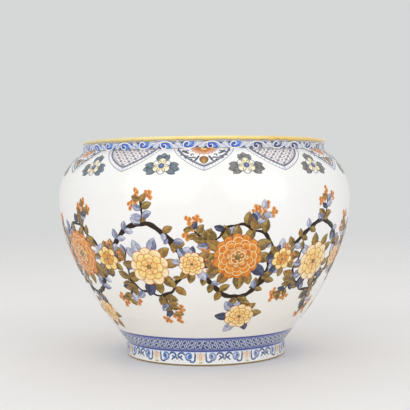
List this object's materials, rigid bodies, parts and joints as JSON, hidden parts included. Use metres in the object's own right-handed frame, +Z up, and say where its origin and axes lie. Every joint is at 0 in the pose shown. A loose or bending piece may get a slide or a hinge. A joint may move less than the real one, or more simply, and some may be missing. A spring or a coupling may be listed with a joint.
{
  "type": "earthenware planter",
  "caption": "Round-bellied glazed earthenware cachepot on a foot ring, with a short neck and a rounded lip round a wide open mouth.",
  "frame": {"origin": "centre of the foot ring's bearing face, on the axis of the pot", "axes": "+Z up along the axis of the pot, +X to the right and +Y away from the side that the picture shows"},
  "size_m": [0.36, 0.36, 0.264],
  "materials": {
    "white_glaze": "glossy tin-white glaze over a pale buff earthenware body",
    "blue_glaze": "glossy glaze over cobalt blue painting",
    "ochre_glaze": "glossy glaze over an ochre yellow band"
  },
  "bodies": {
    "root": {"foot_ring": "white_glaze", "base_disc": "white_glaze", "lower_bowl": "white_glaze", "upper_bowl": "white_glaze", "neck_collar": "blue_glaze", "rim_lip": "ochre_glaze"}
  },
  "joints": []
}
